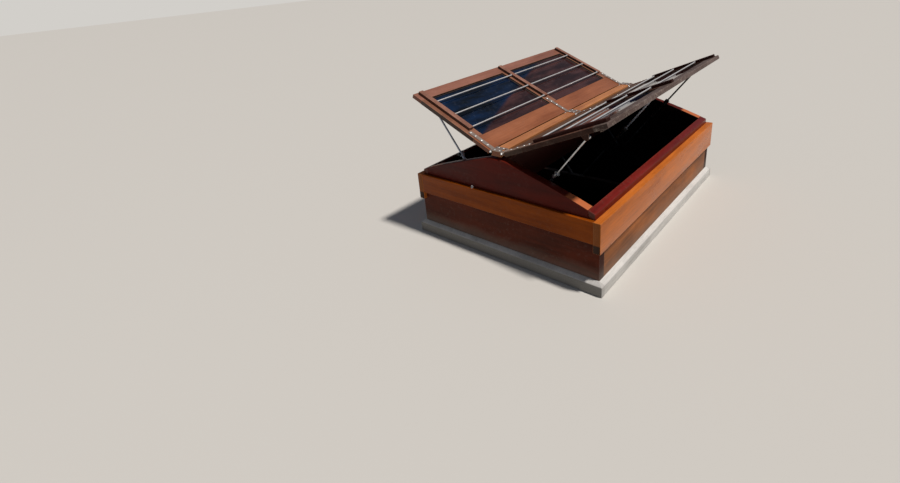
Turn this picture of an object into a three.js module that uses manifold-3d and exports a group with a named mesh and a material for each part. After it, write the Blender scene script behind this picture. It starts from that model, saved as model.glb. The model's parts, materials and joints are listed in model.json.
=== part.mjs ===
// Timber deck skylight with two glazed lids, both propped open on telescopic stays.
// Millimetres, +X across, +Y along the ridge (front gable at -Y), +Z up, base on z = 0.
import * as THREE from "three";
import { mergeVertices } from "three/addons/utils/BufferGeometryUtils.js";
import Module from "manifold-3d";

const wasm = await Module();
wasm.setup();

// Touching pieces stand GAP apart, and joined pieces run JOIN into each other.
const GAP = 0.3;
const JOIN = 2;

// Upper band: the varnished frame whose outer faces set the overall size.
const BAND_X = 500;
const BAND_Y = 710;
const BAND_TOP = 330;
const BAND_SIDE_T = 32;
const BAND_END_T = 18;
const BAND_SIDE_DEPTH = 138;
const BAND_END_DEPTH = 100;

// Lower coaming boards and the moulding round their foot.
const COAMING_X = 490;
const COAMING_Y = 692;
const COAMING_T = 40;
const MOULD_OUT = 23;
const MOULD_FACE = 48;
const MOULD_TOP = 62;

// Sill rails stand inside the band along both long sides and show their ends beside the gables.
// Towards the sills the gables fall below the closed lids by up to CAMBER.
const SILL_T = 30;
const CAMBER = 13;
const CAMBER_X = 200;

// Lids: one rigid leaf on each side, turning about an axis on its top face.
const AXIS_X = 30;
const AXIS_Z = 524;
const CLOSED_DEG = 16.5;
const LID_T = 20;
const LID_Y = 680;
const LID_IN = 8;
const LID_OUT = 510;
const GLASS_IN = 106;
const GLASS_OUT = 450;
const STILE = 64;
const STILE_MID_Y = 8;
const REBATE = 8;
const PANE_T = 6;
const PANE_GAP = 0.4;
const SEAT = 6;
const GLASS_Y = {
  front: [STILE - LID_Y, STILE_MID_Y - STILE / 2],
  rear: [STILE_MID_Y + STILE / 2, LID_Y - STILE],
};
const SIDES = [
  { name: "left", sign: -1, open: 25 },
  { name: "right", sign: 1, open: 23 },
];

// A lip under each outer rail closes down on to the sill, between the gables.
const LIP_S = [450, 464];
const LIP_H = 12;
const LIP_Y = 640;

// Bearers across each lid, the rods they carry and the straps to the hinges.
const BEARER_Y = [-640, 8, 640];
const BEARER_HALF = 14;
const BEARER_H = 14;
const BEARER_IN = 158;
const BEARER_OUT = 500;
const ROD_S = [166, 280, 400];
const ROD_R = 3.5;
const ROD_N = 7.5;
const STRAP_Y = [-660, -6, 660];
const STRAP_HALF = 11;
const STRAP_T = 3;
const STRAP_OUT = 148;

// Hinge: a plate on the cap between two pins; KNUCKLE_Y is where each outer knuckle runs.
const KNUCKLE_R = 7;
const KNUCKLE_Y = [12, 24];
const PIN_R = 3;
const PIN_PLAY = 0.05;
const PLATE_X = 20;
const PLATE_T = 3;

// Ridge: a deep beam between the gables carries a neck and the flat cap between the lids.
const BEAM_X = 45;
const BEAM_BOTTOM = 345;
const NECK_X = 20;
const CAP_X = 26;
const CAP_Y = 684;
const CAP_BOTTOM = 506;
const CAP_TOP = 530;
const NOTCH_X = 22;
const NOTCH_HALF = 26;
const NOTCH_LIFT = 8;

// Stays: the eye on the lid and the foot are equally far from the lid's axis.
const EYE_S = 387;
const EYE_N = -40;
const FOOT_DEG = -91;
const FOOT_R = 11;
const EYE_R = 9;
const EAR_HALF = 20;
const STAY_TUBE_L = 407;
const STAY_TUBE_R = 7.5;
const STAY_BORE_R = 5;
const STAY_ROD_L = 310;
const STAY_ROD_R = 4.5;
const STAY_BORE_START = 60;
const COLLAR_R = 12;
const COLLAR_L = 22;
const BOSS = STAY_TUBE_R + GAP;
const BOSS_R = 8;
const LUG = BOSS + 2.2;
const LUG_T = 6;

// Each lid has three stays: y is a stay's middle plane, lug the side its lug and foot lie on.
const STATIONS = [
  { name: "front", y: -628, lug: -1, stile: "front" },
  { name: "mid", y: 42, lug: -1, stile: "mid" },
  { name: "rear", y: 628, lug: 1, stile: "rear" },
];

// Chocks on the end boards carry the outer stays, and a cross rail the two middle ones.
const CHOCK_X = 46;
const CROSS_Y = [2, 32];
const CROSS_HALF_H = 24;

const ENDS = [
  { name: "front", sign: -1 },
  { name: "rear", sign: 1 },
];

const COLOURS = {
  moulding: { color: 0xa2a29c, roughness: 0.75, metalness: 0 },
  coaming: { color: 0x3b2318, roughness: 0.4, metalness: 0 },
  band: { color: 0x9c5c22, roughness: 0.3, metalness: 0 },
  gable: { color: 0x4c211a, roughness: 0.4, metalness: 0 },
  sill: { color: 0x6e2c22, roughness: 0.35, metalness: 0 },
  ridge: { color: 0x9a642c, roughness: 0.4, metalness: 0 },
  lid_left: { color: 0xa5644a, roughness: 0.5, metalness: 0 },
  lid_right: { color: 0x8a766a, roughness: 0.65, metalness: 0 },
  bearer: { color: 0x5e3426, roughness: 0.5, metalness: 0 },
  glass: { color: 0x0c1220, roughness: 0.08, metalness: 0 },
  rod: { color: 0xb9bcc0, roughness: 0.4, metalness: 0.7 },
  steel: { color: 0xc4c6c8, roughness: 0.3, metalness: 1 },
};

const rad = THREE.MathUtils.degToRad;
const group = new THREE.Group();
group.name = "deck_skylight";

function clean(geometry) {
  geometry.deleteAttribute("normal");
  geometry.deleteAttribute("uv");
  return mergeVertices(geometry, 1e-4);
}

function solid(geometry) {
  const g = clean(geometry.clone());
  const vertProperties = new Float32Array(g.attributes.position.array);
  const triVerts = new Uint32Array(g.index.array);
  return new wasm.Manifold(new wasm.Mesh({ numProp: 3, vertProperties, triVerts }));
}

function surface(manifold) {
  const m = manifold.getMesh();
  const g = new THREE.BufferGeometry();
  g.setAttribute("position", new THREE.BufferAttribute(new Float32Array(m.vertProperties), 3));
  g.setIndex(new THREE.BufferAttribute(new Uint32Array(m.triVerts), 1));
  return g;
}

function union(first, ...rest) {
  return surface(rest.reduce((sum, g) => sum.add(solid(g)), solid(first)));
}

function cut(first, ...rest) {
  return surface(rest.reduce((sum, g) => sum.subtract(solid(g)), solid(first)));
}

function box(x0, x1, y0, y1, z0, z1) {
  const g = new THREE.BoxGeometry(x1 - x0, y1 - y0, z1 - z0);
  return g.translate((x0 + x1) / 2, (y0 + y1) / 2, (z0 + z1) / 2);
}

// A closed cylinder whose axis runs along Y from y0 to y1.
function cylinderY(r, x, y0, y1, z, sides = 24) {
  const g = new THREE.CylinderGeometry(r, r, y1 - y0, sides);
  return g.translate(x, (y0 + y1) / 2, z);
}

// A closed cylinder whose axis runs along X from x0 to x1.
function cylinderX(r, x0, x1, y, z, sides = 24) {
  const g = new THREE.CylinderGeometry(r, r, x1 - x0, sides);
  return g.rotateZ(Math.PI / 2).translate((x0 + x1) / 2, y, z);
}

// A polygon in the XZ plane carried along Y from y0 to y1.
function prismY(points, y0, y1) {
  const shape = new THREE.Shape(points.map(([x, z]) => new THREE.Vector2(x, z)));
  const g = new THREE.ExtrudeGeometry(shape, { depth: y1 - y0, bevelEnabled: false });
  return g.rotateX(Math.PI / 2).translate(0, y1, 0);
}

// Mirror in the plane x = 0 or y = 0, keeping the faces outward.
function mirror(geometry, axis) {
  const g = clean(geometry.clone());
  g.scale(axis === "x" ? -1 : 1, axis === "y" ? -1 : 1, 1);
  const index = g.index.array;
  for (let i = 0; i < index.length; i += 3) {
    const keep = index[i];
    index[i] = index[i + 1];
    index[i + 1] = keep;
  }
  return g;
}

function add(name, slot, geometry) {
  const g = clean(geometry);
  const material = new THREE.MeshStandardMaterial({ ...COLOURS[slot], name: slot });
  const mesh = new THREE.Mesh(g.index ? g.toNonIndexed() : g, material);
  mesh.geometry.computeVertexNormals();
  mesh.name = name;
  group.add(mesh);
}

// Height of the closed lid's underside above x.
function lidUnderside(x) {
  const slope = Math.tan(rad(CLOSED_DEG));
  return AXIS_Z - LID_T / Math.cos(rad(CLOSED_DEG)) - (Math.abs(x) - AXIS_X) * slope;
}

// Height of the gables and sills: SEAT under the closed lid, less the camber beyond CAMBER_X.
function shoulder(x) {
  const past = Math.max(0, (Math.abs(x) - CAMBER_X) / (BAND_X - BAND_SIDE_T - CAMBER_X));
  return lidUnderside(x) - SEAT - CAMBER * past ** 2;
}

// Span of two numbers, low one first.
function span(a, b) {
  return a < b ? [a, b] : [b, a];
}

// Base moulding: one frame, with a vertical face and a bevelled top up to the coaming.
function addMoulding() {
  const profile = [
    [0, 0],
    [MOULD_OUT, 0],
    [MOULD_OUT, MOULD_FACE],
    [0, MOULD_TOP],
  ];
  const corners = [[-1, -1], [1, -1], [1, 1], [-1, 1]];
  const points = corners.flatMap(([sx, sy]) =>
    profile.map(([out, z]) => [sx * (COAMING_X + out), sy * (COAMING_Y + out), z]),
  );
  const n = profile.length;
  const faces = [];
  for (let c = 0; c < 4; c += 1) {
    const here = c * n;
    const next = ((c + 1) % 4) * n;
    for (let i = 0; i < n; i += 1) {
      const j = (i + 1) % n;
      faces.push([here + i, next + i, next + j], [here + i, next + j, here + j]);
    }
  }
  const g = new THREE.BufferGeometry();
  g.setAttribute("position", new THREE.Float32BufferAttribute(points.flat(), 3));
  g.setIndex(faces.flat());
  add("moulding", "moulding", g);
}

// Lower coaming. All boards have a tongue behind the band; the end boards carry a chock
// for two stay feet, and the side boards are joined by the cross rail.
function addCoaming() {
  const sideTop = BAND_TOP - BAND_SIDE_DEPTH;
  const endTop = BAND_TOP - BAND_END_DEPTH;
  const tongue = BAND_X - BAND_SIDE_T;
  const inX = COAMING_X - COAMING_T;
  const inY = COAMING_Y - COAMING_T;
  const foot = stayFoot();
  const end = [
    [-COAMING_X, 0],
    [COAMING_X, 0],
    [COAMING_X, sideTop],
    [tongue, sideTop],
    [tongue, endTop],
    [-tongue, endTop],
    [-tongue, sideTop],
    [-COAMING_X, sideTop],
  ];
  const side = [
    [inX, 0],
    [COAMING_X, 0],
    [COAMING_X, sideTop],
    [tongue, sideTop],
    [tongue, endTop],
    [inX, endTop],
  ];
  const low = foot.z - CROSS_HALF_H;
  const high = foot.z + CROSS_HALF_H;
  const bosses = ({ y, lug }) => {
    const [y0, y1] = span(y + lug * BOSS, y + lug * (LUG + JOIN));
    return [-foot.x, foot.x].map((x) => cylinderY(BOSS_R, x, y0, y1, foot.z));
  };
  const [front, mid, rear] = STATIONS;
  for (const station of [front, rear]) {
    const board = prismY(end, ...span(station.lug * inY, station.lug * COAMING_Y));
    const [y0, y1] = span(station.y + station.lug * LUG, station.lug * (inY + JOIN));
    const chock = box(-CHOCK_X, CHOCK_X, y0, y1, low, high);
    add(`coaming_${station.name}`, "coaming", union(board, chock, ...bosses(station)));
  }
  const right = prismY(side, -inY, inY);
  const cross = box(-inX - JOIN, inX + JOIN, ...CROSS_Y, low, high);
  add("coaming_sides", "coaming", union(right, mirror(right, "x"), cross, ...bosses(mid)));
}

function addBand() {
  const inX = BAND_X - BAND_SIDE_T;
  for (const { name, sign } of ENDS) {
    const [y0, y1] = span(sign * (BAND_Y - BAND_END_T), sign * BAND_Y);
    add(`band_${name}`, "band", box(-inX, inX, y0, y1, BAND_TOP - BAND_END_DEPTH, BAND_TOP));
  }
  for (const { name, sign } of SIDES) {
    const [x0, x1] = span(sign * inX, sign * BAND_X);
    add(`band_${name}`, "band", box(x0, x1, -BAND_Y, BAND_Y, BAND_TOP - BAND_SIDE_DEPTH, BAND_TOP));
  }
}

// Gables: boards between the sill rails with a cambered top, flat over the ridge beam.
function addGables() {
  const inX = BAND_X - BAND_SIDE_T - SILL_T;
  const bottom = BAND_TOP - BAND_END_DEPTH;
  const half = [inX, 410, 380, 350, 320, 290, 260, 230, CAMBER_X, BEAM_X].map((x) => [x, shoulder(x)]);
  const outline = [[-inX, bottom], [inX, bottom], ...half, ...half.map(([x, z]) => [-x, z]).reverse()];
  for (const { name, sign } of ENDS) {
    const [y0, y1] = span(sign * (COAMING_Y - COAMING_T), sign * COAMING_Y);
    add(`gable_${name}`, "gable", prismY(outline, y0, y1));
  }
}

function addSills() {
  const out = BAND_X - BAND_SIDE_T;
  const inner = out - SILL_T;
  const bottom = BAND_TOP - BAND_END_DEPTH;
  const outline = [
    [inner, bottom],
    [out, bottom],
    [out, shoulder(out)],
    [inner, shoulder(inner)],
  ];
  const rail = prismY(outline, -COAMING_Y, COAMING_Y);
  add("sill_right", "sill", rail);
  add("sill_left", "sill", mirror(rail, "x"));
}

function addRidge() {
  const y = COAMING_Y - COAMING_T;
  const top = shoulder(BEAM_X);
  const beam = box(-BEAM_X, BEAM_X, -y, y, BEAM_BOTTOM, top);
  const notches = STRAP_Y.flatMap((at) =>
    [-1, 1].map((k) => {
      const [x0, x1] = span(k * NOTCH_X, k * (CAP_X + 1));
      return box(x0, x1, at - NOTCH_HALF, at + NOTCH_HALF, CAP_BOTTOM + NOTCH_LIFT, CAP_TOP + 1);
    }),
  );
  const neck = box(-NECK_X, NECK_X, -y, y, top - JOIN, CAP_BOTTOM + JOIN);
  const cap = cut(box(-CAP_X, CAP_X, -CAP_Y, CAP_Y, CAP_BOTTOM, CAP_TOP), ...notches);
  add("ridge_beam", "ridge", union(beam, neck, cap));
  const [near, far] = KNUCKLE_Y;
  const plateTop = CAP_TOP + PLATE_T;
  STRAP_Y.forEach((at, i) => {
    const pieces = [box(-PLATE_X, PLATE_X, at - far, at + far, CAP_TOP, plateTop)];
    for (const sign of [-1, 1]) {
      const x = sign * AXIS_X;
      for (const [y0, y1] of [[at - far, at - near], [at + near, at + far]]) {
        pieces.push(box(...span(sign * (PLATE_X - JOIN), x), y0, y1, CAP_TOP, plateTop));
        pieces.push(cylinderY(KNUCKLE_R, x, y0, y1, AXIS_Z));
      }
      pieces.push(cylinderY(PIN_R, x, at - far, at + far, AXIS_Z));
    }
    add(`ridge_hinge_${i + 1}`, "steel", union(...pieces));
  });
}

// Lid pieces are drawn flat, x out from the axis and z up from the top face,
// then turned to the open angle and moved to the axis.
function placeLid(geometry, side) {
  const g = clean(geometry.clone());
  g.rotateY(-rad(side.open));
  g.translate(AXIS_X, 0, AXIS_Z);
  return side.sign > 0 ? g : mirror(g, "x");
}

// Lug under a stile for a stay's eye, with a boss against the eye.
function ear({ y, lug }) {
  const right = [
    [EYE_S + EAR_HALF, -LID_T + JOIN],
    [EYE_S + EYE_R, EYE_N - EYE_R * 0.6],
    [EYE_S + EYE_R / 2, EYE_N - EYE_R],
  ];
  const outline = [...right.map(([s, n]) => [2 * EYE_S - s, n]), ...right.reverse()];
  const plate = prismY(outline, ...span(y + lug * LUG, y + lug * (LUG + LUG_T)));
  return union(plate, cylinderY(BOSS_R, EYE_S, ...span(y + lug * BOSS, y + lug * (LUG + JOIN)), EYE_N));
}

function lidBoards() {
  const { front, rear } = GLASS_Y;
  const rebates = [front, rear].map(([y0, y1]) =>
    box(GLASS_IN - REBATE, GLASS_OUT + REBATE, y0 - REBATE, y1 + REBATE, -LID_T - 1, -REBATE),
  );
  const stileY = { front: [-LID_Y, front[0]], mid: [front[1], rear[0]], rear: [rear[1], LID_Y] };
  const boards = {
    rail_outer: union(
      cut(box(GLASS_OUT, LID_OUT, -LID_Y, LID_Y, -LID_T, 0), ...rebates),
      box(...LIP_S, -LIP_Y, LIP_Y, -LID_T - LIP_H, -LID_T + JOIN),
    ),
    rail_inner: cut(box(LID_IN, GLASS_IN, -LID_Y, LID_Y, -LID_T, 0), ...rebates),
  };
  for (const station of STATIONS) {
    const blank = box(GLASS_IN + GAP, GLASS_OUT - GAP, ...stileY[station.stile], -LID_T, 0);
    boards[`stile_${station.stile}`] = union(cut(blank, ...rebates), ear(station));
  }
  return boards;
}

function addLids() {
  const boards = lidBoards();
  const rodEnd = BEARER_Y[2] + 6;
  const holes = ROD_S.map((s) => cylinderY(ROD_R + GAP, s, -rodEnd - GAP, rodEnd + GAP, ROD_N, 16));
  for (const side of SIDES) {
    const place = (piece, slot, geometry) => add(`lid_${side.name}_${piece}`, slot, placeLid(geometry, side));
    for (const [board, geometry] of Object.entries(boards)) {
      place(board, `lid_${side.name}`, geometry);
    }
    for (const end of ENDS) {
      const [y0, y1] = GLASS_Y[end.name];
      const zTop = -REBATE - GAP;
      const lap = REBATE - PANE_GAP;
      const pane = box(GLASS_IN - lap, GLASS_OUT + lap, y0 - lap, y1 + lap, zTop - PANE_T, zTop);
      place(`pane_${end.name}`, "glass", pane);
    }
    BEARER_Y.forEach((at, i) => {
      const bearer = box(BEARER_IN, BEARER_OUT, at - BEARER_HALF, at + BEARER_HALF, GAP, GAP + BEARER_H);
      place(`bearer_${i + 1}`, "bearer", cut(bearer, ...holes));
    });
    STRAP_Y.forEach((at, i) => {
      const strap = union(
        box(JOIN, STRAP_OUT, at - STRAP_HALF, at + STRAP_HALF, GAP, GAP + STRAP_T),
        cylinderY(KNUCKLE_R, 0, at - STRAP_HALF, at + STRAP_HALF, 0),
      );
      const bore = cylinderY(PIN_R + PIN_PLAY, 0, at - KNUCKLE_Y[0], at + KNUCKLE_Y[0], 0);
      place(`strap_${i + 1}`, "steel", cut(strap, bore));
    });
    ROD_S.forEach((s, i) => {
      place(`rod_${i + 1}`, "rod", cylinderY(ROD_R, s, -rodEnd, rodEnd, ROD_N, 16));
    });
  }
}

// Point at the eye's distance from the lid's axis, at an angle above the horizontal.
function atEyeDistance(degrees) {
  const r = Math.hypot(EYE_S, EYE_N);
  return { x: AXIS_X + r * Math.cos(rad(degrees)), z: AXIS_Z + r * Math.sin(rad(degrees)) };
}

function stayFoot() {
  return atEyeDistance(FOOT_DEG);
}

// A stay is drawn along +X from its foot, then turned to point at the lid's eye.
function addStays() {
  const foot = stayFoot();
  const tube = cut(
    union(
      cylinderY(FOOT_R, 0, -STAY_TUBE_R, STAY_TUBE_R, 0),
      cylinderX(STAY_TUBE_R, JOIN, STAY_TUBE_L - JOIN, 0, 0),
      cylinderX(COLLAR_R, STAY_TUBE_L - COLLAR_L, STAY_TUBE_L, 0, 0),
    ),
    cylinderX(STAY_BORE_R, STAY_BORE_START, STAY_TUBE_L + JOIN, 0, 0),
  );
  for (const side of SIDES) {
    const eye = atEyeDistance(side.open + THREE.MathUtils.radToDeg(Math.atan2(EYE_N, EYE_S)));
    const length = Math.hypot(eye.x - foot.x, eye.z - foot.z);
    const angle = Math.atan2(eye.z - foot.z, eye.x - foot.x);
    const rod = union(
      cylinderY(EYE_R, length, -STAY_TUBE_R, STAY_TUBE_R, 0),
      cylinderX(STAY_ROD_R, length - STAY_ROD_L, length - JOIN, 0, 0),
    );
    for (const station of STATIONS) {
      for (const [piece, geometry] of [["tube", tube], ["rod", rod]]) {
        const g = clean(geometry.clone());
        g.rotateY(-angle);
        g.translate(foot.x, station.y, foot.z);
        const placed = side.sign > 0 ? g : mirror(g, "x");
        add(`stay_${piece}_${side.name}_${station.name}`, "steel", placed);
      }
    }
  }
}

addMoulding();
addCoaming();
addBand();
addGables();
addSills();
addRidge();
addLids();
addStays();

export default group;
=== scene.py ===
"""Finishes, small fittings, light and camera for the timber deck skylight.

Metres: +X across towards the right lid, +Y along the ridge towards the rear gable, +Z up.
"""

import json
import math

import bmesh
import bpy
import numpy as np
from mathutils import Matrix, Vector

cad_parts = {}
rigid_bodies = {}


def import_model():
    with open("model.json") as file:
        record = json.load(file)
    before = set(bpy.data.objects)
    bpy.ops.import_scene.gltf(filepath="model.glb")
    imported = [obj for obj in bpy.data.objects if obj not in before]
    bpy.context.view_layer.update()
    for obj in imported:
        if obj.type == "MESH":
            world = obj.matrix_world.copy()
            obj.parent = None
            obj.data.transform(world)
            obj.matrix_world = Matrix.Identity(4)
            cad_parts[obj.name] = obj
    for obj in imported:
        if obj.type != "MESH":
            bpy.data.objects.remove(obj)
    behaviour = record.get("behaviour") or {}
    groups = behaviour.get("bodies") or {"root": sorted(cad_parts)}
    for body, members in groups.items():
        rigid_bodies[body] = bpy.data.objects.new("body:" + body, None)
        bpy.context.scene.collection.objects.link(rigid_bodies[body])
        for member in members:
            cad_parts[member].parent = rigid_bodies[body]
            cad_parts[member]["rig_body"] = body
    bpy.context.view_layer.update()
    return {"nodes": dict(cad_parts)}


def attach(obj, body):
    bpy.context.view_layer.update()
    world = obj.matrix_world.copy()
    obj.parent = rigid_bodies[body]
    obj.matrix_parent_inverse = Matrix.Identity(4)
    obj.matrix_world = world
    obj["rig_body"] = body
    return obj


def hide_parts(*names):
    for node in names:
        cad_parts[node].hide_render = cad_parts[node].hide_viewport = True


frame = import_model()

# The frame's own sizes, in metres, and how far its lids are open, as the fittings are set out from them.
# On a lid, s runs out from the hinge, y along the ridge and n up from the lid's top face.
SIDES = {"left": -1, "right": 1}
OPEN = {-1: math.radians(25), 1: math.radians(23)}
AXIS_X = 0.030
AXIS_Z = 0.524
BAND_Y = 0.710
BAND_TOP = 0.330
COAMING_Y = 0.692
WELL_X = 0.450
WELL_Y = 0.652

# Panes: s from the inner to the outer rail, y of the front and the rear one, n of their top face.
GLASS_S = (0.106, 0.450)
GLASS_Y = ((-0.616, -0.024), (0.040, 0.616))
GLASS_TOP = -0.0083

# Bearers lie across the lids at y; the guard rods pass through them at s and n, as far as y = ROD_END.
BEARERS = (-0.640, 0.008, 0.640)
BEARER_HALF = 0.014
RODS = (0.166, 0.280, 0.400)
ROD_N = 0.0075
ROD_END = 0.646

# Hinges: y of the straps, n of a strap's top face, height of a plate's, and half the knuckles' length.
STRAPS = (-0.660, -0.006, 0.660)
STRAP_TOP = 0.0033
PLATE_TOP = 0.533
KNUCKLE_END = 0.024

# Stays: y of each, its eye's s and n, its foot's x and z, and how far along from the foot its collar is.
STATIONS = {"front": -0.628, "mid": 0.042, "rear": 0.628}
EYE = (0.387, -0.040)
FOOT = (0.02321, 0.1350)
COLLAR_AT = 0.396


# Surfaces


def faces_of_grid(rows, columns, closed=False):
    """Quads between neighbouring rows and columns; closed joins the last column to the first."""
    r = np.arange(rows - 1)[:, None] * columns
    c = np.arange(columns if closed else columns - 1)[None, :]
    n = (c + 1) % columns
    quads = np.stack(np.broadcast_arrays(r + c, r + n, r + columns + n, r + columns + c), -1)
    return quads.reshape(-1, 4)


def rings(radii, heights):
    """Rings stacked along the local Z axis: radii has a row for each ring and a column for each angle."""
    sides = radii.shape[1]
    a = np.linspace(0, 2 * math.pi, sides, endpoint=False)
    z = np.broadcast_to(heights, radii.shape)
    points = np.stack([radii * np.cos(a), radii * np.sin(a), z], -1)
    return points.reshape(-1, 3), faces_of_grid(len(radii), sides, closed=True)


def turned(profile, sides=24):
    """Surface of revolution: each profile point (radius, height) carried round the local Z axis."""
    profile = np.asarray(profile, float)
    return rings(np.repeat(profile[:, :1], sides, axis=1), profile[:, 1:])


def scalloped(profile, radius, length, lobes, depth, sides=60):
    """A turned grip whose wide rings dip lobes times round, by depth times a squared raised cosine.

    profile: (share of the radius, share of the length) pairs; only shares over 0.7 count as wide.
    """
    profile = np.asarray(profile, float)
    a = np.linspace(0, 2 * math.pi, sides, endpoint=False)
    dip = 1 - depth * (0.5 + 0.5 * np.cos(lobes * a)) ** 2
    share = profile[:, :1]
    return rings(share * radius * np.where(share > 0.7, dip[None], 1.0), profile[:, 1:] * length)


def ring_along(radius, thickness, start, end, steps=20, sides=10):
    """A bent rod: a circle, its radius the thickness, carried round an arc in local XZ, its ends capped."""
    a = np.linspace(start, end, steps)[:, None]
    b = np.linspace(0, 2 * math.pi, sides, endpoint=False)[None]
    r = np.repeat(radius + thickness * np.cos(b), steps, axis=0)
    y = np.repeat(thickness * np.sin(b), steps, axis=0)
    points = np.stack([r * np.cos(a), y, r * np.sin(a)], -1).reshape(-1, 3)
    faces = faces_of_grid(steps, sides, closed=True).tolist()
    last = (steps - 1) * sides
    return points, faces + [list(range(sides)), list(range(last + sides - 1, last - 1, -1))]


def swept(outline, path):
    """A profile carried round a flat closed path with mitred corners.

    outline: (inward, up) pairs; path: corners of a rectangle (s, y), taken anticlockwise.
    Each corner's ring lies on the bisector, so inward is multiplied by the corner's diagonal.
    """
    path = np.asarray(path, float)
    outline = np.asarray(outline, float)
    before = np.roll(path, 1, axis=0) - path
    after = np.roll(path, -1, axis=0) - path
    before /= np.linalg.norm(before, axis=1, keepdims=True)
    after /= np.linalg.norm(after, axis=1, keepdims=True)
    inward = before + after
    flat = path[:, None, :] + outline[None, :, :1] * inward[:, None, :]
    height = np.broadcast_to(outline[None, :, 1:], flat.shape[:2] + (1,))
    points = np.concatenate([flat, height], -1)
    faces = faces_of_grid(len(path) + 1, len(outline), closed=True) % (len(path) * len(outline))
    return points.reshape(-1, 3), faces


def placed(points, faces, places):
    """The same shape at many places: each place is (origin, x axis, y axis, z axis)."""
    out, all_faces = [], []
    for i, (origin, x, y, z) in enumerate(places):
        turn = np.stack([x, y, z])
        out.append(points @ turn + np.asarray(origin))
        all_faces.append(faces + i * len(points))
    return np.concatenate(out), np.concatenate(all_faces)


def lid_axes(sign):
    """Unit vectors of an open lid: out from the hinge, along the hinge, and up from its top face."""
    c, s = math.cos(OPEN[sign]), math.sin(OPEN[sign])
    return np.array([sign * c, 0, s]), np.array([0, 1.0, 0]), np.array([-sign * s, 0, c])


def on_lid(sign, s, y, n):
    """Point on an open lid: s out from the hinge, y along it, n above the top face."""
    out, along, up = lid_axes(sign)
    return np.array([sign * AXIS_X, 0, AXIS_Z]) + s * out + y * along + n * up


def new_object(name, data):
    """An object in the scene for a mesh, a light or a camera."""
    obj = bpy.data.objects.new(name, data)
    bpy.context.scene.collection.objects.link(obj)
    return obj


def outward(obj):
    """Merges doubled points and turns every face of a closed mesh outwards."""
    b = bmesh.new()
    b.from_mesh(obj.data)
    bmesh.ops.remove_doubles(b, verts=b.verts, dist=1e-6)
    bmesh.ops.recalc_face_normals(b, faces=b.faces)
    b.to_mesh(obj.data)
    b.free()


def piece(name, points, faces, body, slot, material, smooth=True):
    """One object from arrays of points and faces, riding on a body."""
    mesh = bpy.data.meshes.new(name)
    mesh.from_pydata(np.asarray(points, float).reshape(-1, 3).tolist(), [], [list(f) for f in faces])
    mesh.validate()
    mesh.materials.append(material)
    mesh.polygons.foreach_set("use_smooth", np.full(len(mesh.polygons), smooth))
    obj = new_object(name, mesh)
    outward(obj)
    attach(obj, body)
    return obj


# Shader groups


class Graph:
    """Short forms for adding and joining shader nodes in one tree."""

    def __init__(self, tree):
        self.tree = tree

    def node(self, kind, **settings):
        n = self.tree.nodes.new(kind)
        for key, value in settings.items():
            setattr(n, key, value)
        return n

    def link(self, a, b):
        self.tree.links.new(a, b)

    def put(self, value, socket):
        """Joins an output to the socket, or sets the socket to a plain value."""
        if hasattr(value, "is_output"):
            self.link(value, socket)
        else:
            socket.default_value = value

    def math(self, operation, a, b=0.0, clamp=False):
        n = self.node("ShaderNodeMath", operation=operation, use_clamp=clamp)
        self.put(a, n.inputs[0])
        self.put(b, n.inputs[1])
        return n.outputs[0]

    def mix(self, factor, a, b, blend="MIX"):
        n = self.node("ShaderNodeMix", data_type="RGBA", blend_type=blend)
        self.put(factor, n.inputs[0])
        self.put(a, n.inputs[6])
        self.put(b, n.inputs[7])
        return n.outputs[2]

    def range(self, value, low, high, to_low=0.0, to_high=1.0, smooth=False):
        """Carries low to to_low and high to to_high, and holds what lies past them."""
        n = self.node("ShaderNodeMapRange", interpolation_type="SMOOTHSTEP" if smooth else "LINEAR")
        self.put(value, n.inputs[0])
        for i, v in enumerate((low, high, to_low, to_high)):
            self.put(v, n.inputs[i + 1])
        return n.outputs[0]

    def scaled(self, vector, scale):
        n = self.node("ShaderNodeVectorMath", operation="MULTIPLY")
        self.put(vector, n.inputs[0])
        n.inputs[1].default_value = scale
        return n.outputs[0]

    def dot(self, a, b):
        n = self.node("ShaderNodeVectorMath", operation="DOT_PRODUCT")
        self.put(a, n.inputs[0])
        self.put(b, n.inputs[1])
        return n.outputs["Value"]

    def parts(self, vector):
        n = self.node("ShaderNodeSeparateXYZ")
        self.link(vector, n.inputs[0])
        return n.outputs

    def noise(self, vector, scale, detail=3.0, rough=0.55, distort=0.0):
        n = self.node("ShaderNodeTexNoise")
        self.put(vector, n.inputs["Vector"])
        n.inputs["Scale"].default_value = scale
        n.inputs["Detail"].default_value = detail
        n.inputs["Roughness"].default_value = rough
        n.inputs["Distortion"].default_value = distort
        return n.outputs["Fac"]

    def grey(self, value):
        n = self.node("ShaderNodeCombineColor")
        for i in range(3):
            self.put(value, n.inputs[i])
        return n.outputs[0]

    def bump(self, height, strength, distance):
        n = self.node("ShaderNodeBump")
        n.inputs["Strength"].default_value = strength
        n.inputs["Distance"].default_value = distance
        self.link(height, n.inputs["Height"])
        return n.outputs["Normal"]


def node_group(name, inputs, outputs):
    """An empty shader group with the named sockets."""
    group = bpy.data.node_groups.new(name, "ShaderNodeTree")
    for label, kind, value in inputs:
        socket = group.interface.new_socket(label, in_out="INPUT", socket_type=kind)
        if value is not None:
            socket.default_value = value
    for label, kind in outputs:
        group.interface.new_socket(label, in_out="OUTPUT", socket_type=kind)
    return group, group.nodes.new("NodeGroupInput"), group.nodes.new("NodeGroupOutput")


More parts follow.
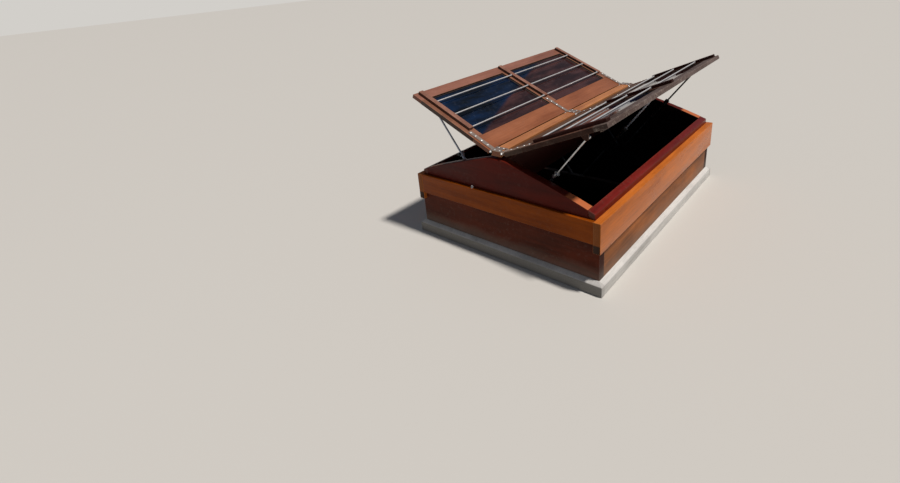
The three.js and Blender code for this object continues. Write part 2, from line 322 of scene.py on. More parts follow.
def timber_group():
    """Plain-sawn timber: broad figure, fine streaks and pores stretched along local X, rings on end grain.

    The tone between Dark and Light is the figure and the streaks about their middle, times Streaks, plus
    the blotches times Patches. Pores darken it. The rings are a sine of the distance across the board,
    bent by the figure.
    """
    group, gin, gout = node_group(
        "timber",
        [
            ("Vector", "NodeSocketVector", None),
            ("Light", "NodeSocketColor", (0.5, 0.3, 0.15, 1)),
            ("Dark", "NodeSocketColor", (0.2, 0.1, 0.05, 1)),
            ("End", "NodeSocketColor", (0.3, 0.2, 0.1, 1)),
            ("Streaks", "NodeSocketFloat", 0.5),
            ("Patches", "NodeSocketFloat", 0.3),
            ("End grain", "NodeSocketFloat", 0.0),
        ],
        [("Color", "NodeSocketColor"), ("Grain", "NodeSocketFloat"), ("Blotch", "NodeSocketFloat")],
    )
    g = Graph(group)
    v = gin.outputs["Vector"]
    figure = g.range(g.noise(g.scaled(v, (1.3, 14.0, 14.0)), 1.6, 4, 0.6, 0.6), 0.32, 0.68)
    streak = g.range(g.noise(g.scaled(v, (3.0, 120.0, 120.0)), 1.0, 3, 0.6), 0.30, 0.70)
    pore = g.noise(g.scaled(v, (22.0, 520.0, 520.0)), 1.0, 2, 0.5)
    blotch = g.noise(g.scaled(v, (2.5, 6.0, 6.0)), 1.4, 3, 0.55)
    tone = g.math("ADD", g.math("MULTIPLY", figure, 0.62), g.math("MULTIPLY", streak, 0.38))
    tone = g.math("ADD", g.math("MULTIPLY", g.math("SUBTRACT", tone, 0.5), gin.outputs["Streaks"]), 0.5)
    spread = g.math("SUBTRACT", g.range(blotch, 0.3, 0.7), 0.5)
    tone = g.math("ADD", tone, g.math("MULTIPLY", spread, gin.outputs["Patches"]), clamp=True)
    color = g.mix(tone, gin.outputs["Dark"], gin.outputs["Light"])
    pores = g.range(pore, 0.38, 0.46, 0.86, 1.0)
    color = g.mix(1.0, color, g.grey(pores), "MULTIPLY")
    place = g.parts(v)
    bent = g.math("ADD", g.math("MULTIPLY", place[1], 190.0), g.math("MULTIPLY", figure, 5.0))
    bent = g.math("ADD", bent, g.math("MULTIPLY", place[2], 12.0))
    ring = g.range(g.math("SINE", g.math("MULTIPLY", bent, 6.283)), -1.0, 1.0, 0.80, 1.05)
    end = g.mix(1.0, gin.outputs["End"], g.grey(ring), "MULTIPLY")
    grain = g.math("ADD", g.math("MULTIPLY", streak, 0.6), g.math("MULTIPLY", pores, 0.4))
    g.link(g.mix(gin.outputs["End grain"], color, end), gout.inputs["Color"])
    g.link(grain, gout.inputs["Grain"])
    g.link(blotch, gout.inputs["Blotch"])
    return group


def edge_group():
    """Mask that is 1 on arrises: how far the rounded normal leaves the flat one, broken by noise."""
    group, gin, gout = node_group(
        "edge_wear",
        [("Vector", "NodeSocketVector", None), ("Amount", "NodeSocketFloat", 0.5)],
        [("Mask", "NodeSocketFloat")],
    )
    g = Graph(group)
    bevel = g.node("ShaderNodeBevel", samples=6)
    bevel.inputs["Radius"].default_value = 0.006
    flat = g.node("ShaderNodeNewGeometry").outputs["Normal"]
    edge = g.range(g.math("SUBTRACT", 1.0, g.dot(bevel.outputs[0], flat)), 0.01, 0.16)
    broken = g.range(g.noise(gin.outputs["Vector"], 26.0, 4, 0.65), 0.34, 0.66, 0.15, 1.2)
    mask = g.math("MULTIPLY", g.math("MULTIPLY", edge, broken), gin.outputs["Amount"], clamp=True)
    g.link(mask, gout.inputs["Mask"])
    return group


# A limit that no face of the skylight reaches, where only the other limits are to count.
NO_LIMIT = 9.0


def well_group():
    """Mask of the faces that look into the well, which are painted dark as shade: within X and Y of the
    middle, and below Z.

    The mask falls off over 1.2 mm inside each limit, so the limits stand a little outside the well.
    """
    outside, fade = 0.0015, 0.0012
    group, gin, gout = node_group(
        "well_shade",
        [
            ("Vector", "NodeSocketVector", None),
            ("X", "NodeSocketFloat", WELL_X + outside),
            ("Y", "NodeSocketFloat", WELL_Y + outside),
            ("Z", "NodeSocketFloat", NO_LIMIT),
        ],
        [("Mask", "NodeSocketFloat")],
    )
    g = Graph(group)
    x, y, z = g.parts(gin.outputs["Vector"])
    mask = 1.0
    for label, value in (("X", g.math("ABSOLUTE", x)), ("Y", g.math("ABSOLUTE", y)), ("Z", z)):
        room = g.math("SUBTRACT", gin.outputs[label], value)
        mask = g.math("MULTIPLY", mask, g.range(room, 0.0, fade))
    g.link(mask, gout.inputs["Mask"])
    return group


def grime_group():
    """Dust and salt: soft speckle everywhere, thickening towards a low height as a splash line does."""
    group, gin, gout = node_group(
        "grime",
        [
            ("Vector", "NodeSocketVector", None),
            ("Speckle", "NodeSocketFloat", 0.2),
            ("Low", "NodeSocketFloat", 0.06),
            ("High", "NodeSocketFloat", 0.12),
            ("Splash", "NodeSocketFloat", 0.4),
        ],
        [("Mask", "NodeSocketFloat")],
    )
    g = Graph(group)
    v = gin.outputs["Vector"]
    fine = g.range(g.noise(v, 55.0, 5, 0.7), 0.52, 0.78)
    cloud = g.noise(v, 7.0, 4, 0.6)
    height = g.math("ADD", g.parts(v)[2], g.math("MULTIPLY", g.math("SUBTRACT", cloud, 0.5), 0.06))
    darkened_foot = g.range(height, gin.outputs["Low"], gin.outputs["High"], 1.0, 0.0)
    splash = g.math("MULTIPLY", darkened_foot, gin.outputs["Splash"])
    dotted = g.math("MULTIPLY", fine, g.range(cloud, 0.35, 0.65))
    speckle = g.math("MULTIPLY", dotted, gin.outputs["Speckle"])
    g.link(g.math("ADD", splash, speckle, clamp=True), gout.inputs["Mask"])
    return group


TIMBER = timber_group()
EDGE = edge_group()
WELL = well_group()
GRIME = grime_group()


def use(g, group, **values):
    """Places a node group and sets its named inputs; an underscore stands for a space."""
    n = g.node("ShaderNodeGroup")
    n.node_tree = group
    for key, value in values.items():
        g.put(value, n.inputs[key.replace("_", " ")])
    return n


# Materials


def rgba(hex_colour):
    """Linear colour of a six-digit sRGB value."""
    v = [int(hex_colour[i : i + 2], 16) / 255 for i in (0, 2, 4)]
    return tuple(c / 12.92 if c <= 0.04045 else ((c + 0.055) / 1.055) ** 2.4 for c in v) + (1,)


def new_material(name):
    """A material with its graph and its Principled shader."""
    material = bpy.data.materials.new(name)
    material.use_nodes = True
    return material, Graph(material.node_tree), material.node_tree.nodes["Principled BSDF"]


# How far the grain's own X axis is turned for each run, and the run's direction.
GRAIN = {
    "x": ((0, 0, 0), (1, 0, 0)),
    "y": ((0, 0, math.radians(-90)), (0, 1, 0)),
    "left": ((0, OPEN[-1], 0), (math.cos(OPEN[-1]), 0, -math.sin(OPEN[-1]))),
    "right": ((0, -OPEN[1], 0), (math.cos(OPEN[1]), 0, math.sin(OPEN[1]))),
}

# Painted shade laid on the faces that look along the ridge.
SHADED_FLANK = "140d0a"
# Colour that darkens the end grain below foot_of_ends.
DARK_END_FOOT = "1a100c"
STEEL_STAIN = "8d8a84"
# The deep blue is a painted sky reflection on the panes; the brown fills the rest of each pane.
GLASS_REFLECTED_BLUE = ("02060e", "08203f")
GLASS_BROWN = ("251517", "472c2b")
GLASS_DUST = "8f9298"
GRIP_BLOOM = "3b3733"


def wood(
    name,
    light,
    dark,
    along,
    end=None,
    streaks=0.7,
    patches=0.5,
    gloss=0.35,
    coat=0.0,
    shine=0.22,
    worn="c9a173",
    wear=0.35,
    bump=0.15,
    offset=0.0,
    grime="8d8478",
    speckle=0.15,
    splash=0.0,
    well=None,
    stain_and_shade="0c0807",
    tip_shade=None,
    flank_shade=0.0,
    foot_of_ends=None,
    sunlit_tops=None,
):
    """Timber finish with its grain along X, Y or an open lid's slope; offset moves the grain.

    light, dark and end are the face and end grain, worn and wear the arrises, grime the dust's colour and
    the colour of the painted shade that tips lays on. gloss is the roughness, shine the specular level. well
    is the top height of the faces that look into the well, which are painted dark as shade in the stain
    colour. tips paints shade onto what lies past the end boards. flank paints shade onto the faces that look
    along the ridge. Below foot_of_ends the end grain is darkened nearly to black. bleach gives the half
    width beyond which the upper faces are painted lighter as a patch of sunlight, and that colour.
    """
    material, g, shader = new_material(name)
    coordinates = g.node("ShaderNodeTexCoord")
    place = coordinates.outputs["Object"]
    normal = coordinates.outputs["Normal"]
    mapping = g.node("ShaderNodeMapping")
    g.link(place, mapping.inputs["Vector"])
    mapping.inputs["Location"].default_value = (offset, offset * 0.7, offset * 0.3)
    mapping.inputs["Rotation"].default_value, run = GRAIN[along]
    across = g.range(g.math("ABSOLUTE", g.dot(normal, run)), 0.80, 0.97)
    timber = use(
        g,
        TIMBER,
        Vector=mapping.outputs["Vector"],
        Light=rgba(light),
        Dark=rgba(dark),
        End=rgba(end or dark),
        Streaks=streaks,
        Patches=patches,
        End_grain=across,
    )
    dirt_and_tip_shade = use(g, GRIME, Vector=place, Speckle=speckle, Splash=splash).outputs["Mask"]
    arris = use(g, EDGE, Vector=place, Amount=wear).outputs["Mask"]
    # Painted shade: past the end boards the surface is darkened towards the grime colour, on top of the
    # dust.
    if tip_shade:
        inner = use(g, WELL, Vector=place, X=NO_LIMIT, Y=COAMING_Y + 0.0005).outputs["Mask"]
        dirt_and_tip_shade = g.math("ADD", dirt_and_tip_shade, g.math("MULTIPLY", g.math("SUBTRACT", 1.0, inner), tip_shade), clamp=True)
    color = g.mix(dirt_and_tip_shade, timber.outputs["Color"], rgba(grime))
    color = g.mix(arris, color, rgba(worn))
    # Painted shade on the faces that look along the ridge.
    if flank_shade:
        along_ridge = g.range(g.math("ABSOLUTE", g.dot(normal, (0, 1, 0))), 0.75, 0.95)
        color = g.mix(g.math("MULTIPLY", along_ridge, flank_shade), color, rgba(SHADED_FLANK))
    # Darkens the end grain nearly to black below foot_of_ends.
    if foot_of_ends:
        low = g.range(g.parts(place)[2], foot_of_ends - 0.002, foot_of_ends + 0.003, 1.0, 0.0)
        darkened_foot = g.math("MULTIPLY", g.math("MULTIPLY", across, low), 0.9)
        color = g.mix(darkened_foot, color, rgba(DARK_END_FOOT))
    # Painted sunlight: the upper faces past the half width are made lighter.
    if sunlit_tops:
        half_width, sunlit_colour = sunlit_tops
        upper = g.range(g.dot(normal, (0, 0, 1)), 0.5, 0.8)
        outer = g.range(g.math("ABSOLUTE", g.parts(place)[0]), half_width, half_width + 0.012)
        color = g.mix(g.math("MULTIPLY", upper, outer), color, rgba(sunlit_colour))
    # Painted shade: the faces that look into the well are darkened nearly to the stain colour.
    if well is not None:
        inside = use(g, WELL, Vector=place, Z=well).outputs["Mask"]
        color = g.mix(g.math("MULTIPLY", inside, 0.95), color, rgba(stain_and_shade))
    rough = g.range(timber.outputs["Blotch"], 0.3, 0.7, gloss - 0.07, gloss + 0.10)
    rough = g.math("ADD", rough, g.math("MULTIPLY", g.math("ADD", arris, dirt_and_tip_shade), 0.22), clamp=True)
    g.link(color, shader.inputs["Base Color"])
    g.link(rough, shader.inputs["Roughness"])
    g.link(g.bump(timber.outputs["Grain"], bump, 0.001), shader.inputs["Normal"])
    shader.inputs["Specular IOR Level"].default_value = shine
    shader.inputs["Coat Weight"].default_value = coat
    shader.inputs["Coat Roughness"].default_value = 0.14
    return material


def metal(name, colour, rough=0.25, along="y", metallic=1.0):
    """Stainless fittings: brushed streaks along X or Y, and light staining."""
    material, g, shader = new_material(name)
    place = g.node("ShaderNodeTexCoord").outputs["Object"]
    stain_and_shade = g.noise(place, 34.0, 4, 0.6)
    stretch = (900.0, 60.0, 900.0) if along == "y" else (60.0, 900.0, 900.0)
    brushed = g.noise(g.scaled(place, stretch), 1.0, 2)
    color = g.mix(g.range(stain_and_shade, 0.45, 0.75, 0, 0.6), rgba(colour), rgba(STEEL_STAIN))
    dull = g.range(stain_and_shade, 0.3, 0.7, rough - 0.06, rough + 0.14)
    g.link(color, shader.inputs["Base Color"])
    g.link(g.math("ADD", dull, g.range(brushed, 0.3, 0.7, -0.05, 0.05)), shader.inputs["Roughness"])
    shader.inputs["Metallic"].default_value = metallic
    return material


def tinted_glass():
    """Tinted panes: deep blue, a painted sky reflection, to one side of a slanting, slightly wandering line
    and brown to the other.

    The line is where y less the slope times the distance from the ridge reaches a set value, so the blue
    painted reflection lies towards the outer rail and the front. Both colours are streaked, under a little
    dust.
    """
    slope, blue_to, brown_from = 3.09, -1.05, -0.98
    material, g, shader = new_material("tinted_pane_painted_reflection")
    place = g.node("ShaderNodeTexCoord").outputs["Object"]
    x, y = g.parts(place)[:2]
    wander = g.math("MULTIPLY", g.math("SUBTRACT", g.noise(place, 3.0, 3, 0.5), 0.5), 0.16)
    lean = g.math("SUBTRACT", g.math("ADD", y, wander), g.math("MULTIPLY", g.math("ABSOLUTE", x), slope))
    brown = g.range(lean, blue_to, brown_from, smooth=True)
    streak = g.noise(g.scaled(place, (5.0, 1.2, 5.0)), 3.0, 4, 0.6)
    warm = g.mix(g.range(streak, 0.4, 0.62), rgba(GLASS_BROWN[0]), rgba(GLASS_BROWN[1]))
    reflected_blue = g.mix(g.range(streak, 0.35, 0.65), rgba(GLASS_REFLECTED_BLUE[0]), rgba(GLASS_REFLECTED_BLUE[1]))
    dust = g.range(g.noise(place, 42.0, 5, 0.7), 0.54, 0.82, 0.0, 0.08)
    g.link(g.mix(dust, g.mix(brown, reflected_blue, warm), rgba(GLASS_DUST)), shader.inputs["Base Color"])
    g.link(g.range(dust, 0.0, 0.08, 0.06, 0.26), shader.inputs["Roughness"])
    shader.inputs["Specular IOR Level"].default_value = 0.35
    return material


def rubber(name, colour, rough):
    """Moulded grip: dark, faintly mottled, with a fine dimpled skin."""
    material, g, shader = new_material(name)
    place = g.node("ShaderNodeTexCoord").outputs["Object"]
    mottle = g.noise(place, 60.0, 4, 0.6)
    bloom = g.range(mottle, 0.4, 0.7, 0, 0.4)
    g.link(g.mix(bloom, rgba(colour), rgba(GRIP_BLOOM)), shader.inputs["Base Color"])
    g.link(g.range(mottle, 0.3, 0.7, rough - 0.08, rough + 0.12), shader.inputs["Roughness"])
    g.link(g.bump(g.noise(place, 700.0, 2, 0.5), 0.2, 0.0005), shader.inputs["Normal"])
    return material


FINISH = {
    # The band's boards are one varnish and the coaming's one board: their front and rear copies are painted
    # darker as shade, their side copies lighter as sunlight.
    "band_x_shaded": wood(
        "band_front_varnish_shaded", "9c4a06", "6b2c02", "x",
        gloss=0.34, shine=0.10, worn="c98a48", offset=0.3, well=NO_LIMIT,
    ),
    "band_y_sunlit": wood(
        "band_side_varnish_sunlit", "df7e32", "a1541e", "y",
        end="8a4a14", foot_of_ends=0.229, shine=0.15, gloss=0.3, worn="dca063", offset=1.7, well=NO_LIMIT,
    ),
    "coaming_x_shaded": wood(
        "coaming_front_board_shaded", "622815", "391509", "x",
        patches=0.8, gloss=0.5, shine=0.1, worn="8f8a84", wear=0.5, offset=2.1, well=NO_LIMIT,
        speckle=0.3, splash=0.35,
    ),
    "coaming_y_sunlit": wood(
        "coaming_side_board_sunlit", "ad6836", "62391b", "y",
        patches=0.9, gloss=0.5, shine=0.15, worn="9b948c", wear=0.5, offset=3.9, well=NO_LIMIT,
        speckle=0.3, splash=0.35,
    ),
    # The moulding's front and rear, past the end boards, carry painted shade.
    "moulding": wood(
        "moulding_weathered", "e9e7e2", "b0ada9", "y",
        end="8b8882", streaks=0.5, gloss=0.7, worn="d8d6cf", bump=0.35, speckle=0.3, grime="6f6a64",
        tip_shade=0.22,
    ),
    # The gable's bleach is a painted patch of sunlight on its outer slope ends.
    "gable": wood(
        "gable_varnish", "631708", "3d0b04", "x",
        gloss=0.42, shine=0.12, worn="6f4a38", offset=4.4, sunlit_tops=(0.335, "b9683f"), well=NO_LIMIT,
    ),
    # The sill's faces below well look into the well and are painted dark as shade.
    "sill": wood(
        "sill_varnish", "7c2019", "4c100c", "y",
        end="5f2f22", gloss=0.3, coat=0.1, shine=0.12, worn="b9896c", offset=5.2, well=0.352,
    ),
    # Below well the ridge beam is painted dark maroon as shade.
    "ridge": wood(
        "ridge_varnish", "cd8a58", "884e2f", "y",
        gloss=0.4, coat=0.2, worn="e0ac6c", wear=0.6, offset=6.1, well=0.505, stain_and_shade="40100b",
    ),
    "lid_left_outer": wood(
        "left_outer_rail_finish", "a06d5c", "7a4c3c", "y",
        gloss=0.42, coat=0.2, worn="c99a78", offset=7.3,
    ),
    "lid_left_inner": wood(
        "left_inner_rail_finish", "a46544", "794329", "y",
        gloss=0.36, coat=0.3, worn="dca874", offset=7.9,
    ),
    "lid_left_x": wood(
        "left_stile_finish", "9c6a52", "6e4636", "left",
        gloss=0.4, coat=0.2, worn="d0a274", offset=8.2, flank_shade=0.8,
    ),
    "lid_right_outer": wood(
        "right_outer_rail_finish", "71625e", "483832", "y",
        patches=0.9, gloss=0.55, shine=0.1, worn="b8aca0", offset=9.6, speckle=0.9, grime="b3a798",
    ),
    "lid_right_inner": wood(
        "right_inner_rail_finish", "70513d", "442e21", "y",
        gloss=0.5, worn="b8aca0", offset=9.1,
    ),
    "lid_right_x": wood(
        "right_stile_finish", "6e4b3e", "44281f", "right",
        patches=0.8, gloss=0.5, shine=0.08, worn="a39486", offset=10.5, speckle=0.5, grime="a2968a",
        flank_shade=0.6,
    ),
    "bearer_left": wood(
        "left_bearer_finish", "a77764", "6b4639", "left",
        gloss=0.4, coat=0.1, worn="a97a62", offset=11.3, flank_shade=0.7,
    ),
    "bearer_right": wood(
        "right_bearer_finish", "4a1f18", "2a0f0b", "right",
        gloss=0.4, shine=0.08, worn="6b5345", offset=12.8,
    ),
    "bead": wood("glazing_bead_stain", "2b1d17", "17100c", "x", gloss=0.5, worn="4b392e", offset=14.2),
    "glass": tinted_glass(),
    "rod": metal("guard_rod_steel", "dcdcdc", 0.48, metallic=0.6),
    "steel": metal("fitting_steel", "c6c8ca", 0.22, "x"),
    # The stays are one steel in a lit copy, a half-shaded copy (stay_left) and a shaded copy (stay): painted
    # light and shade.
    "stay": metal("shaded_stay_steel", "3c3e41", 0.40, "x"),
    "stay_left": metal("left_stay_steel", "a9b2c0", 0.42, "x", 0.6),
    "strap": metal("strap_steel", "bba79a", 0.34, "x", 0.75),
    # Steel heads made near white and half metallic: their brightness is a painted glint on screws, pin nuts
    # and the ledge eye.
    "screw": metal("screw_steel_painted_glint", "f2f2f0", 0.18, "x", 0.45),
    "grip": rubber("clamp_grip", "0d0d0e", 0.5),
}


# Boards and fittings of the frame


def stay_finish(node):
    """One steel in painted lit and shaded copies: the right front stay shines as lit; the left front one and
    the right middle rod are duller and bluish, in painted part shade and sky reflection, and the rest dark,
    in painted shade.
    """
    if node.endswith("right_front"):
        return "steel"
    return "stay_left" if node.endswith("left_front") or node == "stay_rod_right_mid" else "stay"


def lid_finish(node):
    """Name of the finish for a lid's pane, guard rod, strap, bearer, rail or stile."""
    side = "left" if "left" in node else "right"
    finishes = {
        "pane": "glass",
        "_rod_": "rod",
        "strap": "strap",
        "bearer": f"bearer_{side}",
        "rail_inner": f"lid_{side}_inner",
        "rail_outer": f"lid_{side}_outer",
        "stile": f"lid_{side}_x",
    }
    return next(finish for part, finish in finishes.items() if part in node)


def finish_of(node):
    """Name of the finish for a node of the frame."""
    if node.startswith("lid"):
        return lid_finish(node)
    if node.startswith("stay"):
        return stay_finish(node)
    if node.startswith("band"):
        return "band_x_shaded" if node.endswith(("front", "rear")) else "band_y_sunlit"
    if node.startswith("coaming"):
        return "coaming_y_sunlit" if node.endswith("sides") else "coaming_x_shaded"
    finishes = {
        "moulding": "moulding",
        "gable": "gable",
        "sill": "sill",
        "ridge_beam": "ridge",
        "ridge_hinge": "strap",
    }
    return next(finish for start, finish in finishes.items() if node.startswith(start))


# Arris widths of the boards, in metres; the other nodes keep their own edges.
ARRIS = {
    "band": 0.0025,
    "coaming": 0.0030,
    "moulding": 0.0030,
    "gable": 0.0020,
    "sill": 0.0030,
    "ridge_beam": 0.0025,
    "rail": 0.0025,
    "stile": 0.0020,
    "bearer": 0.0025,
}


def eased(node, width, material):
    """A copy of a board with its arrises rounded, standing for the board."""
    source = frame["nodes"][node]
    mesh = source.data.copy()
    mesh.name = f"{node}_eased"
    mesh.materials.clear()
    mesh.materials.append(material)
    b = bmesh.new()
    b.from_mesh(mesh)
    bmesh.ops.remove_doubles(b, verts=b.verts, dist=1e-5)
    bmesh.ops.dissolve_limit(b, angle_limit=math.radians(0.5), verts=b.verts, edges=b.edges)
    b.to_mesh(mesh)
    b.free()
    mesh.polygons.foreach_set("use_smooth", np.full(len(mesh.polygons), True))
    obj = new_object(f"{node}_eased", mesh)
    bevel = obj.modifiers.new("arris", "BEVEL")
    bevel.width = width
    bevel.segments = 3
    bevel.limit_method = "ANGLE"
    bevel.angle_limit = math.radians(25)
    bevel.harden_normals = True
    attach(obj, source["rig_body"])
    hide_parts(node)
    return obj


for node, obj in frame["nodes"].items():
    material = FINISH[finish_of(node)]
    obj.data.materials.clear()
    obj.data.materials.append(material)
    board = next((part for part in ARRIS if part in node), None)
    if board:
        eased(node, ARRIS[board], material)


# Small fittings

UPRIGHT = ((1, 0, 0), (0, 1, 0), (0, 0, 1))


def screw_heads(radius, rise, sunk=0.0008):
    """Domed heads: height falls with the square of the radius, on a rim sunk just under the surface."""
    share = np.linspace(0, 1, 5)
    dome = [(radius * k, rise * (1 - k * k)) for k in share]
    return turned(dome + [(radius, -sunk), (0.0, -sunk)], 14)


def cap_nut(radius=0.0058, sides=24):
    """Pin end: a six-sided collar under a round dome.

    On the collar, whose share of the radius is 1, the radius follows the flats: half the width across
    them over the cosine of the angle from the middle of the nearest flat. The dome's rings are round,
    0.9 of their share.
    """
    half_flat, dome = 0.866, 0.9
    share_and_height = np.array(
        [
            (0.0, -0.0010),
            (1.0, -0.0010),
            (1.0, 0.0030),
            (0.80, 0.0034),
            (0.74, 0.0052),
            (0.52, 0.0070),
            (0.0, 0.0080),
        ]
    )
    share, height = share_and_height[:, :1], share_and_height[:, 1:]
    a = np.linspace(0, 2 * math.pi, sides, endpoint=False)
    flats = half_flat / np.cos((a + math.pi / 6) % (math.pi / 3) - math.pi / 6)
    return rings(share * radius * np.where(share > dome, flats[None], dome), height)


def strap_screws():
    """Four screws in each strap, the outermost in its rounded end."""
    holes_s = (0.140, 0.111, 0.074, 0.037)
    points, faces = screw_heads(0.0052, 0.0026)
    for side, sign in SIDES.items():
        axes = lid_axes(sign)
        places = [(on_lid(sign, s, y, STRAP_TOP), *axes) for y in STRAPS for s in holes_s]
        shape = placed(points, faces, places)
        piece(f"lid_{side}_strap_screws", *shape, f"lid_{side}", "steel", FINISH["screw"])


def plate_screws():
    """Four smaller screws in each hinge plate on the ridge cap."""
    half_x, half_y = 0.013, 0.015
    points, faces = screw_heads(0.0042, 0.0020)
    corners = [(x, y) for x in (-half_x, half_x) for y in (-half_y, half_y)]
    places = [((x, strap + y, PLATE_TOP), *UPRIGHT) for strap in STRAPS for x, y in corners]
    piece("hinge_plate_screws", *placed(points, faces, places), "coaming", "steel", FINISH["screw"])


def pin_nuts():
    """A cap nut on both ends of every hinge pin, its dome pointing away from the knuckles."""
    points, faces = cap_nut()
    places = []
    for strap in STRAPS:
        for x in (-AXIS_X, AXIS_X):
            for way in (-1, 1):
                end = (x, strap + way * KNUCKLE_END, AXIS_Z)
                places.append((end, (1, 0, 0), (0, 0, -way), (0, way, 0)))
    piece("hinge_pin_nuts", *placed(points, faces, places), "coaming", "steel", FINISH["screw"])


def rod_ferrules():
    """Collars where the guard rods enter the bearers: a ring with a rolled outer edge."""
    profile = [
        (0.0034, 0.0),
        (0.0062, 0.0),
        (0.0066, 0.0006),
        (0.0062, 0.0016),
        (0.0050, 0.0020),
        (0.0036, 0.0020),
        (0.0034, 0.0018),
    ]
    points, faces = turned(profile + profile[:1], 18)
    flanks = [(y + way * BEARER_HALF, way) for y in BEARERS for way in (-1, 1)]
    for side, sign in SIDES.items():
        out, along, up = lid_axes(sign)
        places = [
            (on_lid(sign, s, y, ROD_N), out, way * -up, way * along)
            for y, way in flanks
            for s in RODS
            if abs(y) < ROD_END
        ]
        shape = placed(points, faces, places)
        piece(f"lid_{side}_rod_ferrules", *shape, f"lid_{side}", "rod", FINISH["rod"])


def glazing_beads():
    """Dark hollow beads round the panes: a quarter-hollow profile carried round each opening."""
    width, hollow_r, under = 0.0062, 0.0052, 0.0008
    a = np.linspace(0, math.pi / 2, 5)
    hollow = [(width - hollow_r * math.sin(t), width - hollow_r * math.cos(t)) for t in a]
    outline = [(-under, 0.0), (width, 0.0)] + hollow + [(0.0, width), (-under, width)]
    s0, s1 = GLASS_S
    for side, sign in SIDES.items():
        where = [(on_lid(sign, 0, 0, GLASS_TOP), *lid_axes(sign))]
        for end, (y0, y1) in zip(("front", "rear"), GLASS_Y):
            points, faces = swept(outline, [(s0, y0), (s1, y0), (s1, y1), (s0, y1)])
            shape = placed(points, faces, where)
            piece(f"lid_{side}_{end}_bead", *shape, f"lid_{side}", "bearer", FINISH["bead"], smooth=False)


def stay_knobs():
    """Scalloped clamp knobs on the collars, in front of the left stays and behind the right ones.

    The knobs are real fittings; those before the left collars also stand in for the shade on those collars.
    """
    off_axis = 0.0118
    grip = [(0.0, 0.0), (0.80, 0.0), (1.0, 0.12), (1.0, 0.80), (0.88, 0.97), (0.55, 1.0), (0.0, 1.0)]
    points, faces = scalloped(grip, radius=0.0088, length=0.0098, lobes=6, depth=0.16)
    for side, sign in SIDES.items():
        eye = on_lid(sign, EYE[0], 0, EYE[1])
        foot = np.array([sign * FOOT[0], 0, FOOT[1]])
        along = (eye - foot) / np.linalg.norm(eye - foot)
        way = np.array([0, sign, 0.0])
        for end, y in STATIONS.items():
            at = foot + along * COLLAR_AT + (0, y, 0) + way * off_axis
            shape = placed(points, faces, [(at, along, np.cross(way, along), way)])
            piece(f"stay_{side}_{end}_knob", *shape, f"stay_tube_{side}_{end}", "steel", FINISH["grip"])


def ledge_eye():
    """A small eye on the front ledge: a bent rod on a turned rose."""
    x, y = -0.140, -0.7012
    rise = 0.0062
    profile = [(0.0, 0.0), (0.0066, 0.0), (0.0066, 0.0008), (0.0050, 0.0018), (0.0, 0.0020)]
    rose, rose_faces = turned(profile, 20)
    rod, rod_faces = ring_along(0.0052, 0.0015, math.radians(-35), math.radians(215))
    points = np.concatenate([rose, rod + (0, 0, rise)])
    faces = rose_faces.tolist() + [[i + len(rose) for i in f] for f in rod_faces]
    piece("ledge_eye", points + (x, y, BAND_TOP), faces, "coaming", "steel", FINISH["screw"])


strap_screws()
plate_screws()
pin_nuts()
rod_ferrules()
glazing_beads()
stay_knobs()
ledge_eye()


# Light and camera

# In pixels: the picture's width and height, the focal length, and the row that the lens's axis meets.
PICTURE = (900, 483)
LENS_PX = 477.2
LENS_ROW = 159.1


def staged(name, points, faces, colour, rough):
    """A plain matt surface that isn't part of the object."""
    mesh = bpy.data.meshes.new(name)
    mesh.from_pydata(points, [], faces)
    material, _, shader = new_material(f"{name}_matt")
    shader.inputs["Base Color"].default_value = rgba(colour)
    shader.inputs["Roughness"].default_value = rough
    shader.inputs["Specular IOR Level"].default_value = 0.2
    mesh.materials.append(material)
    obj = new_object(name, mesh)


def floor():
    """A pale floor with an opening under the well, and a pit below it painted near black as shade."""
    far, half_x, half_y = 60.0, 0.470, 0.665
    lip, deep = -0.001, -0.9
    corners = [(-1, -1), (1, -1), (1, 1), (-1, 1)]
    edge = [(x * half_x, y * half_y) for x, y in corners]
    points = [(x * far, y * far, 0.0) for x, y in corners] + [(x, y, 0.0) for x, y in edge]
    around = [(i, (i + 1) % 4, 4 + (i + 1) % 4, 4 + i) for i in range(4)]
    staged("floor", points, around, "c9c6c0", 0.9)
    points = [(x, y, z) for z in (lip, deep) for x, y in edge]
    walls = [(4 + i, 4 + (i + 1) % 4, (i + 1) % 4, i) for i in range(4)]
    # Painted shade: the pit is lined near black.
    staged("pit", points, walls + [(4, 5, 6, 7)], "070708", 1.0)


def key_light(towards, strength, spread, colour):
    """Parallel light from one direction, softened over a disc of the given angle."""
    data = bpy.data.lights.new("key", "SUN")
    data.energy = strength
    data.angle = math.radians(spread)
    data.color = colour
    obj = new_object("key", data)
    obj.rotation_euler = (-Vector(towards)).to_track_quat("-Z", "Y").to_euler()


def fill_light(place, target, size, power, colour):
    """A round soft box at a place, facing a target."""
    data = bpy.data.lights.new("fill", "AREA")
    data.shape = "DISK"
    data.size = size
    data.energy = power
    data.color = colour
    obj = new_object("fill", data)
    obj.location = place
    obj.rotation_euler = (Vector(target) - Vector(place)).to_track_quat("-Z", "Y").to_euler()


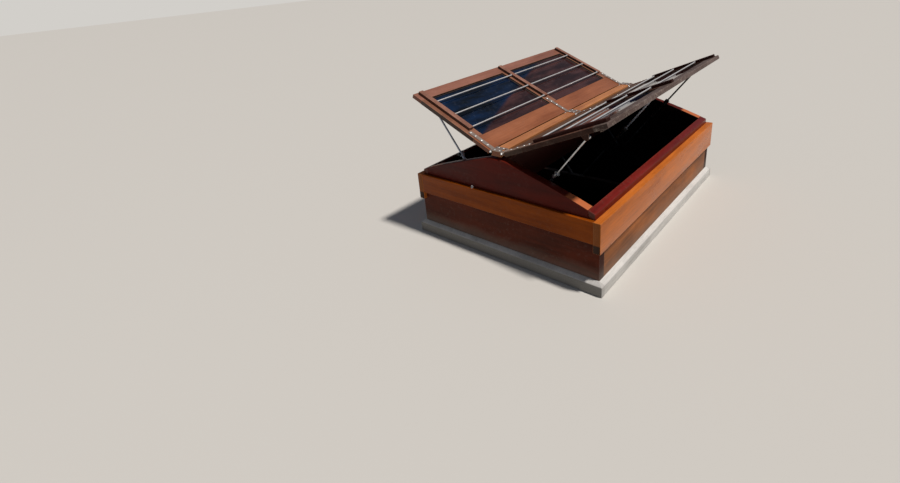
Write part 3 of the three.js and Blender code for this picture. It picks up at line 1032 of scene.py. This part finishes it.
def surround(colour, strength, backdrop):
    """Plain, faintly blue light from all round; the view beyond the floor is a plain pale tone."""
    world = bpy.data.worlds.new("studio")
    bpy.context.scene.world = world
    world.use_nodes = True
    g = Graph(world.node_tree)
    around = world.node_tree.nodes["Background"]
    around.inputs["Color"].default_value = colour
    around.inputs["Strength"].default_value = strength
    seen = g.node("ShaderNodeBackground")
    seen.inputs["Color"].default_value = rgba(backdrop)
    either = g.node("ShaderNodeMixShader")
    g.link(g.node("ShaderNodeLightPath").outputs["Is Camera Ray"], either.inputs[0])
    g.link(around.outputs[0], either.inputs[1])
    g.link(seen.outputs[0], either.inputs[2])
    g.link(either.outputs[0], world.node_tree.nodes["World Output"].inputs["Surface"])


def camera(place, yaw, pitch, roll):
    """Yaw is to the left of +Y, pitch is up and roll is anticlockwise, all in degrees."""
    a, p, r = (math.radians(v) for v in (yaw, pitch, roll))
    ahead = Vector((-math.sin(a) * math.cos(p), math.cos(a) * math.cos(p), math.sin(p)))
    right = Vector((math.cos(a), math.sin(a), 0))
    up = right.cross(ahead)
    right, up = math.cos(r) * right + math.sin(r) * up, -math.sin(r) * right + math.cos(r) * up
    width, height = PICTURE
    data = bpy.data.cameras.new("camera")
    data.sensor_width = 36
    data.lens = LENS_PX / width * data.sensor_width
    data.shift_y = (LENS_ROW - height / 2) / width
    data.clip_start = 0.02
    obj = new_object("camera", data)
    obj.matrix_world = Matrix.Translation(place) @ Matrix((right, up, -ahead)).transposed().to_4x4()
    bpy.context.scene.camera = obj


bpy.context.scene.view_settings.view_transform = "Standard"
floor()
key_light(towards=(0.38, 0.10, 0.92), strength=3.3, spread=4.5, colour=(1.0, 0.95, 0.90))
fill_light(place=(0.6, -4.2, 2.6), target=(0, 0, 0.3), size=2.6, power=4, colour=(0.86, 0.92, 1.0))
surround(colour=(0.55, 0.63, 0.78, 1), strength=0.18, backdrop="d2cfca")
camera(place=(1.2099, -1.5116 - BAND_Y, 1.2567), yaw=44.14, pitch=-20.85, roll=-5.73)
